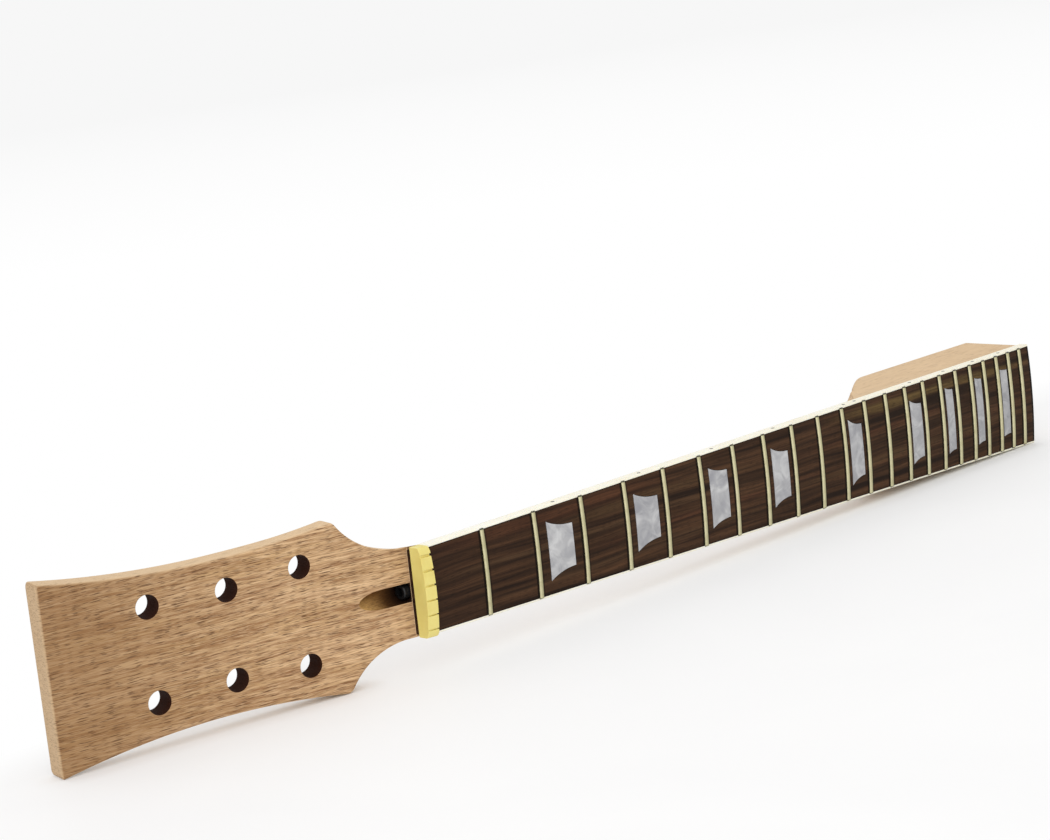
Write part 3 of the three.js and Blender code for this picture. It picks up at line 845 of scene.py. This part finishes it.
def rod_nut_piece():
    over = 1.0
    axis = -rod_depth_under_crown
    front = Vector((-rod_nut_front, 0, axis))
    back = Vector((rod_nut_length - rod_nut_front, 0, axis))
    edge = rod_nut_chamfer / rod_nut_length
    profile = [(0, rod_nut_radius - rod_nut_chamfer), (edge, rod_nut_radius),
               (1 - edge, rod_nut_radius), (1, rod_nut_radius - rod_nut_chamfer)]
    piece = solid("truss_rod_socket_nut", round_bar(front, back, profile))
    hex_corner = hex_across_flats / math.sqrt(3)
    socket = round_bar(front - Vector((over, 0, 0)), front + Vector((hex_depth, 0, 0)),
                       [(0, hex_corner), (1, hex_corner)], 6)
    cut(piece, solid("hex_broach", socket))
    bore_start = front + Vector((hex_depth + over, 0, 0))
    bore = round_bar(bore_start, back + Vector((over, 0, 0)), [(0, rod_radius), (1, rod_radius)])
    cut(piece, solid("thread_drill", bore))
    return piece


black_oxide = steel_material("black_oxide_steel", tone(26, 25, 26), tone(18, 17, 17), 0.5, 0.15)
bright_steel = steel_material("drawn_steel", tone(150, 150, 152), tone(118, 116, 114), 0.35, 1.0)
present(rod_nut_piece(), black_oxide, ["truss_rod_nut"], body="truss_rod_assembly")
for name in ("truss_rod", "truss_bar", "truss_block_head", "truss_block_heel"):
    rod_part = frame["nodes"][name]
    rod_part.data.materials.clear()
    rod_part.data.materials.append(bright_steel)


# Fingerboard
# A plank of dark rosewood, planed to a crown across its width and glued on the neck. It is sawn
# for the frets and routed for the inlays, and its front end runs on as a thin seat under the nut.
binding_thickness = 1.0
binding_start = 0.05
nut_seat_depth = 4.7
fret_slot_half = 0.3
fret_slot_depth = 1.9
fret_slot_steps = 12
board_steps = 60
board_crown_steps = 40
# For each marked fret: the inlay's length as a share of the space before that fret, and its long
# and its short side as shares of the board's width.
inlay_shares = {
    3: (0.53, 0.69, 0.5),
    5: (0.58, 0.66, 0.48),
    7: (0.53, 0.68, 0.54),
    9: (0.56, 0.66, 0.51),
    12: (0.55, 0.72, 0.565),
    15: (0.59, 0.69, 0.58),
    17: (0.45, 0.71, 0.65),
    19: (0.46, 0.715, 0.67),
    21: (0.55, 0.715, 0.68),
}
inlay_bow_share = 0.43
inlay_margin = 0.3
inlay_depth = 2.0
inlay_fit = 0.25
inlay_glue = 0.1
side_dot_radius = 1.0
side_dot_length = 3.0
double_dot_fret = 12
double_dot_spacing = 9.0
# Place across, half width, start, end, length of its fading, colour and share of each streak.
rosewood_streaks = [
    (17.0, 3.8, -10, 170, 50, tone(96, 60, 40), 0.65),
    (19.0, 3.0, 280, 470, 50, tone(112, 92, 54), 0.7),
    (11.0, 3.0, 60, 240, 60, tone(94, 70, 46), 0.6),
    (3.0, 2.0, -20, 230, 60, tone(98, 74, 52), 0.5),
    (-5.0, 2.2, 90, 300, 60, tone(92, 58, 40), 0.55),
    (-14.0, 2.5, 20, 260, 60, tone(98, 72, 50), 0.55),
    (8.0, 2.6, 250, 420, 60, tone(88, 56, 38), 0.5),
    (-8.0, 3.0, 240, 470, 60, tone(96, 72, 48), 0.5),
]


def board_core(x):
    """Half the width between the bindings."""
    return board_half(x) - binding_thickness


def space_before(number):
    """The middle and the length of the space before a fret."""
    here = fret_place(number)
    before = fret_place(number - 1)
    return (here + before) / 2, here - before


def crowned_plank(start, end, half, steps):
    """A plank with a flat underside and the board's crowned face; half gives its width by place."""
    rings = []
    for x in stations(start, end, steps):
        ring = [crowned(x, across, 0) for across in stations(-half(x), half(x), board_crown_steps)]
        ring += [Vector((x, half(x), -board_thickness)), Vector((x, -half(x), -board_thickness))]
        rings.append(ring)
    return loft(rings)


def crowned_strip(x, reach, half, top, low, steps):
    """A thin strip that runs across the board along its crown, between two heights."""
    section = [(half, top), (-half, top), (-half, low), (half, low)]
    return loft([[crowned(x + along, across, above) for along, above in section]
                 for across in stations(-reach, reach, steps)])


def fret_slot_shape(number):
    over = 1.0
    high = 2.0
    x = fret_place(number)
    return crowned_strip(x, board_core(x) + over, fret_slot_half, high, -fret_slot_depth, fret_slot_steps)


def inlay_block(number, grow, low):
    """A block with its long side towards the nut and hollow ends, larger by grow all round."""
    curve_steps = 14
    high = 2.0
    length_share, long_share, short_share = inlay_shares[number]
    centre, space = space_before(number)
    core = board_core(centre) - inlay_margin
    length = length_share * space + 2 * grow
    long_half = long_share * core + grow
    short_half = short_share * core + grow
    start = centre - length / 2
    end = centre + length / 2
    bow = Vector((between(start, end, inlay_bow_share), short_half))
    first = Vector((start, long_half))
    last = Vector((end, short_half))
    curve = [pulled(first, bow, last, i / curve_steps) for i in range(curve_steps + 1)]
    outline = [(x, y) for x, y in curve] + [(x, -y) for x, y in reversed(curve)]
    return loft([[Vector((x, y, z)) for x, y in outline] for z in (low, high)])


side_dots = []
for number in inlay_shares:
    centre, _ = space_before(number)
    if number == double_dot_fret:
        side_dots.append((f"{number}_a", centre - double_dot_spacing / 2))
        side_dots.append((f"{number}_b", centre + double_dot_spacing / 2))
    else:
        side_dots.append((str(number), centre))


def side_dot_bar(x, radius, inner, outer, chamfer=0.0):
    middle = -board_thickness / 2
    profile = [(0, radius), (1 - chamfer / (inner + outer), radius)]
    if chamfer:
        profile.append((1, radius - chamfer))
    return round_bar(Vector((x, board_half(x) - inner, middle)),
                     Vector((x, board_half(x) + outer, middle)), profile, 32)


def dot_drill(outer):
    """The drill for all side dots, which goes on so far beyond the edge."""
    return solid("dot_drill", *[side_dot_bar(x, side_dot_radius, side_dot_length, outer)
                                for _, x in side_dots])


def streak_group():
    """Node group: one long streak in the wood at a place across the board, between two places."""
    group, given = new_group("streak", ("Mask",), Place=(0, 0, 0), Across=0.0, Width=3.0, From=0.0,
                             To=100.0, Fade=30.0)
    at = fit(group, "ShaderNodeSeparateXYZ", {"Vector": given["Place"]})
    away = worked(group, "ABSOLUTE", minus(group, at["Y"], given["Across"]))
    beside = spread(group, worked(group, "DIVIDE", away, given["Width"]), 0.25, 1.0, 1.0, 0.0)
    began = worked(group, "DIVIDE", minus(group, at["X"], given["From"]), given["Fade"])
    left = worked(group, "DIVIDE", minus(group, given["To"], at["X"]), given["Fade"])
    within = spread(group, worked(group, "MINIMUM", began, left), 0.0, 1.0)
    fit(group, "NodeGroupOutput", {"Mask": times(group, beside, within)})
    return group


def fret_side_group():
    """Node group: how near a point of the board is to the fret beside it, on the nut's side as Front
    and on the heel's side as Back, from the rule that divides a string into notes."""
    group, given = new_group("fret_sides", ("Front", "Back"), X=0.0, Half=1.25, Reach=1.5)
    left = minus(group, 1.0, worked(group, "DIVIDE", given["X"], scale_length))
    notes = times(group, worked(group, "LOGARITHM", left, 2.0), -notes_per_octave)
    nearest = worked(group, "ROUND", notes)
    share = worked(group, "POWER", 2.0, worked(group, "DIVIDE", nearest, -notes_per_octave))
    fret = times(group, minus(group, 1.0, share), scale_length)
    sides = {}
    for name, gap in (("Front", minus(group, fret, given["X"])), ("Back", minus(group, given["X"], fret))):
        gap = minus(group, gap, given["Half"])
        near = spread(group, worked(group, "DIVIDE", gap, given["Reach"]), 0.55, 1.0, 1.0, 0.0)
        sides[name] = times(group, worked(group, "GREATER_THAN", gap, -1.0), near)
    fit(group, "NodeGroupOutput", sides)
    return group


def inside_binding(tree, where):
    """How far a point lies inside the nearer binding, in millimetres."""
    core = worked(tree, "ADD", times(tree, where["Along"], board_taper), board_core(0))
    return minus(tree, core, worked(tree, "ABSOLUTE", where["Across"]))


streak = streak_group()
fret_sides = fret_side_group()


def rosewood_material():
    """Oiled wood in bands and streaks, with painted shade and some dirt along the frets and the binding."""
    material, tree, where = new_material("oiled_rosewood")
    grain = use(tree, fibres, Place=where["Place"], Wander=6.0, Band=4.0, Fibre=0.45, Reach=150.0)
    place = grain["Wandered"]
    lines = use(tree, fibres, Place=place, Wander=1.0, Band=1.7, Fibre=0.5, Reach=70.0)
    marks = use(tree, pores, Place=place, Length=4.5, Width=0.42, Share=0.45)["Mask"]
    brown_bands = spread(tree, grain["Bands"], 0.36, 0.64)
    wood = layered(tree, tone(36, 24, 16), (brown_bands, tone(88, 61, 41)))
    for across, width, start, end, fade, colour, share in rosewood_streaks:
        line = use(tree, streak, Place=place, Across=across, Width=width, From=start, To=end, Fade=fade)
        wood = layered(tree, wood, (times(tree, line["Mask"], share), colour))
    dark_lines = spread(tree, lines["Bands"], 0.46, 0.68, 0.0, 0.66)
    dark_fibres = spread(tree, grain["Fibres"], 0.4, 0.7, 0.0, 0.5)
    near_nut = spread(tree, where["Along"], 0.0, 120.0, 0.35, 0.0)
    # Painted shade, with some dirt: dark lines along each fret, stronger on its nut side, and along the binding's
    # joint.
    beside = use(tree, fret_sides, X=where["Along"])
    shade_and_grime = worked(tree, "MAXIMUM", beside["Front"], times(tree, beside["Back"], 0.55))
    binding_joint_shade = spread(tree, inside_binding(tree, where), 0.2, 0.6, 0.8, 0.0)
    shade_and_grime = worked(tree, "MAXIMUM", shade_and_grime, binding_joint_shade)
    wood = layered(tree, wood, (dark_lines, tone(29, 19, 13)), (dark_fibres, tone(40, 26, 17)),
                   (near_nut, tone(42, 28, 22)), (times(tree, marks, 0.6), tone(24, 15, 11)),
                   (times(tree, shade_and_grime, 0.9), tone(14, 9, 6)))
    roughness = spread(tree, grain["Fibres"], 0.3, 0.7, 0.5, 0.66)
    relief = minus(tree, times(tree, grain["Fibres"], 0.3), marks)
    return dress(material, wood, roughness, relief, 0.3, 0.0001, {"Specular IOR Level": 0.08})


plank = crowned_plank(-nut_thickness, board_end, board_core, board_steps)
board = solid("fingerboard_plank", plank)
seat_high = 3.0
cut(board, solid("nut_seat_saw", block((-nut_thickness - seat_high, -nut_width, -nut_seat_depth),
                                       (binding_start, nut_width, seat_high))))
cut(board, solid("fret_saw", *[fret_slot_shape(number) for number in range(1, fret_count + 1)]))
cut(board, solid("inlay_router", *[inlay_block(number, inlay_fit, -inlay_depth - inlay_glue)
                                   for number in inlay_shares]))
cut(board, dot_drill(0.0))
present(board, rosewood_material(), ["fingerboard"])


# Binding
# A strip of cream plastic glued along each long edge of the fingerboard, scraped flush with the
# crown and the neck's side. The bass strip is drilled for the side dots.
binding_edge_round = 0.35
binding_round_steps = 5
binding_cream = tone(253, 250, 235)
binding_cream_at_heel = tone(247, 241, 219)
binding_aged = tone(246, 239, 217)


def binding_piece(name, side):
    """The strip's section goes round: underside, outer face, rounded shoulder, crown, inner face."""
    rings = []
    for x in stations(binding_start, board_end, board_steps):
        outer = board_half(x)
        inner = outer - binding_thickness
        top = crowned(x, outer, 0).z
        ring = [(inner, -board_thickness), (outer, -board_thickness)]
        for cosine, sine in arc(binding_round_steps):
            ring.append((outer - binding_edge_round * (1 - cosine), top - binding_edge_round * (1 - sine)))
        ring.append((inner, crowned(x, inner, 0).z))
        rings.append([Vector((x, side * across, z)) for across, z in ring])
    return solid(name, loft(rings))


def plastic_material(name, main, far, aged, roughness, clouds, waxy):
    """Solid plastic, scraped and buffed: faint clouds, fine scrape lines and a waxy depth. Its
    colour turns from main at the nut to far at the board's end."""
    material, tree, where = new_material(name)
    marks = use(tree, wear, Place=where["Place"], Smudge=clouds, Along=9.0, Across=0.25)
    colour = layered(tree, main, (spread(tree, where["Along"], 0.0, board_end), far),
                     (spread(tree, marks["Smudges"], 0.42, 0.7), aged),
                     (spread(tree, marks["Scratches"], 0.55, 0.8, 0.0, 0.25), aged))
    uneven = spread(tree, marks["Smudges"], 0.3, 0.7, roughness - 0.07, roughness + 0.1)
    return dress(material, colour, uneven, marks["Scratches"], 0.1, 0.00004, {
        "Subsurface Weight": waxy, "Subsurface Scale": 0.001, "Subsurface Radius": (1.0, 0.8, 0.5)})


cream_plastic = plastic_material("cream_plastic", binding_cream, binding_cream_at_heel, binding_aged,
                                 0.36, 25.0, 0.1)
bass_strip = binding_piece("binding_strip_bass", 1)
cut(bass_strip, dot_drill(1.0))
present(bass_strip, cream_plastic, ["binding_bass"])
present(binding_piece("binding_strip_treble", -1), cream_plastic, ["binding_treble"])


# Inlays
# Nine blocks of grey pearl celluloid, cut with hollow ends, set in pockets between the marked
# frets with a little dark glue round them, and sanded flush with the crown.
def pearl_material():
    """Grey clouds with pale flames and dark hollows, a little darker towards the heel."""
    material, tree, where = new_material("grey_pearl")
    wave = noise(tree, stretched(tree, where["Place"], 15.0, 15.0, 15.0), 2.0, Distortion=1.2)["Fac"]
    flame = noise(tree, stretched(tree, where["Place"], 10.0, 10.0, 10.0), 2.0, Distortion=1.4)["Fac"]
    pale_clouds = spread(tree, wave, 0.36, 0.66)
    pale_flames = spread(tree, flame, 0.52, 0.72, 0.0, 0.6)
    dark_hollows = spread(tree, flame, 0.3, 0.46, 0.5, 0.0)
    towards_heel_end = spread(tree, where["Along"], 250.0, board_end, 0.0, 0.4)
    colour = layered(tree, tone(154, 154, 158), (pale_clouds, tone(187, 187, 188)),
                     (pale_flames, tone(214, 214, 214)), (dark_hollows, tone(140, 140, 148)),
                     (towards_heel_end, tone(140, 140, 142)))
    return dress(material, colour, spread(tree, flame, 0.3, 0.7, 0.2, 0.34), flame, 0.08, 0.00005,
                 {"Coat Weight": 0.2, "Coat Roughness": 0.15})


grey_pearl = pearl_material()
for number in inlay_shares:
    inlay = solid(f"inlay_block_{number}", inlay_block(number, 0.0, -inlay_depth))
    crown = crowned_plank(fret_place(number - 1), fret_place(number), board_half, 1)
    cut(inlay, solid("crown_plane", crown), "INTERSECT")
    present(inlay, grey_pearl, [f"inlay_{number}"])


# Side dots
# Ten short black plastic rods pressed into the bass edge, one below each inlay and two at the
# octave, cut off and sanded flush with the binding.
side_dot_play = 0.01
side_dot_chamfer = 0.05
dot_black = tone(34, 31, 30)

black_plastic = plastic_material("black_plastic", dot_black, dot_black, tone(48, 44, 42), 0.42, 3.0, 0.0)
for label, x in side_dots:
    rod = side_dot_bar(x, side_dot_radius - side_dot_play, side_dot_length - side_dot_play, 0.0,
                       side_dot_chamfer)
    present(solid(f"side_dot_rod_{label}", rod), black_plastic, [f"side_dot_{label}"])


# Frets
# Twenty-two lengths of nickel silver wire with a rounded crown over a thin tang. Each is bent to
# the board's crown, hammered into its slot, and its ends are filed to a slant over the binding.
fret_width = 2.5
fret_crown = 1.0
fret_end_angle = math.radians(30)
fret_end_inset = 0.5
fret_end_edge = 0.07
fret_tang_half = 0.28
fret_tang_depth = 1.8
fret_tang_root = 0.3
fret_tang_short = 0.2
fret_crown_steps = 14
fret_run_steps = 20


def fret_piece(number):
    x = fret_place(number)
    profile = []
    for cosine, sine in arc(fret_crown_steps, math.pi):
        profile.append((fret_width / 2 * cosine, fret_crown * sine))
    rings = []
    for i in range(fret_run_steps + 1):
        share = 2 * i / fret_run_steps - 1
        ring = []
        for along, above in profile:
            half = board_half(x) - fret_end_inset - above * math.tan(fret_end_angle)
            ring.append(crowned(x + along, half * share, above))
        rings.append(ring)
    piece = solid(f"fret_wire_{number:02d}", loft(rings))
    soften(piece, fret_end_edge, 2, math.radians(40))
    tang = crowned_strip(x, board_core(x) - fret_tang_short, fret_tang_half, fret_crown * fret_tang_root,
                         -fret_tang_depth, fret_run_steps)
    cut(piece, solid("tang", tang), "UNION")
    return piece


def fret_material():
    """Nickel silver, with a painted highlight on the flank to the nut and painted shade on the flank
    to the heel; the filed ends stay dark with file marks.
    """
    material, tree, where = new_material("nickel_silver")
    marks = use(tree, wear, Place=where["Place"], Smudge=4.0, Along=0.12, Across=5.0)
    # Painted highlight and shade: the flank facing the nut is bright, the flank facing the heel dark.
    heel_flank_shade = spread(tree, where["Facing along"], -0.75, 0.8)
    dull = spread(tree, marks["Smudges"], 0.42, 0.72, 0.0, 0.5)
    filed = spread(tree, inside_binding(tree, where), 0.25, -0.05)
    colour = layered(tree, tone(224, 218, 178), (heel_flank_shade, tone(138, 131, 94)), (dull, tone(176, 168, 126)),
                     (filed, tone(62, 62, 44)))
    roughness = spread(tree, marks["Scratches"], 0.3, 0.7, 0.24, 0.38)
    return dress(material, colour, roughness, marks["Scratches"], 0.12, 0.00004,
                 {"Metallic": minus(tree, 1.0, times(tree, filed, 0.6))})


nickel_silver = fret_material()
for number in range(1, fret_count + 1):
    present(fret_piece(number), nickel_silver, [f"fret_{number:02d}"])


# Nut
# A bar of yellowish cream plastic glued across the end of the fingerboard. Its top is curved
# across and falls towards the headstock, its ends are rounded, and six string slots are sawn in.
nut_rise = 4.6
nut_crown_radius = 120
nut_corner = 2.0
nut_back_fall = 0.9
nut_edge_round = 0.3
nut_corner_steps = 8
nut_top_steps = 30
nut_cream = tone(234, 219, 130)
nut_aged = tone(226, 208, 116)
string_spread = 34.4
string_slot_depth = 1.3
string_slot_widths = (0.6, 0.7, 0.8, 0.95, 1.1, 1.3)


def nut_top(across):
    return nut_rise - nut_crown_radius + math.sqrt(nut_crown_radius ** 2 - across ** 2)


def nut_piece():
    over = 1.0
    half = nut_width / 2
    shoulder = half - nut_corner
    corner_low = nut_top(half) - nut_corner
    right = []
    for cosine, sine in arc(nut_corner_steps)[:-1]:
        right.append((shoulder + nut_corner * cosine, corner_low + nut_corner * sine))
    top = [(across, nut_top(across)) for across in stations(shoulder, -shoulder, nut_top_steps)]
    left = [(-across, above) for across, above in reversed(right)]
    outline = [(-half, -nut_seat_depth), (half, -nut_seat_depth)] + right + top + left
    back = [Vector((-nut_thickness, across, above - nut_back_fall if above > 0 else above))
            for across, above in outline]
    front = [Vector((0.0, across, above)) for across, above in outline]
    piece = solid("nut_blank", loft([back, front]))
    soften(piece, nut_edge_round, 3, math.radians(50))
    slots = []
    for i, width in enumerate(string_slot_widths):
        across = string_spread * (i / (len(string_slot_widths) - 1) - 1 / 2)
        floor = nut_top(across) - string_slot_depth
        slots.append(block((-nut_thickness - over, across - width / 2, floor),
                           (over, across + width / 2, nut_rise + over)))
    cut(piece, solid("string_slot_saw", *slots))
    return piece


yellow_cream = plastic_material("yellow_cream_plastic", nut_cream, nut_cream, nut_aged, 0.42, 12.0, 0.1)
present(nut_piece(), yellow_cream, ["nut"], crease=math.radians(75))
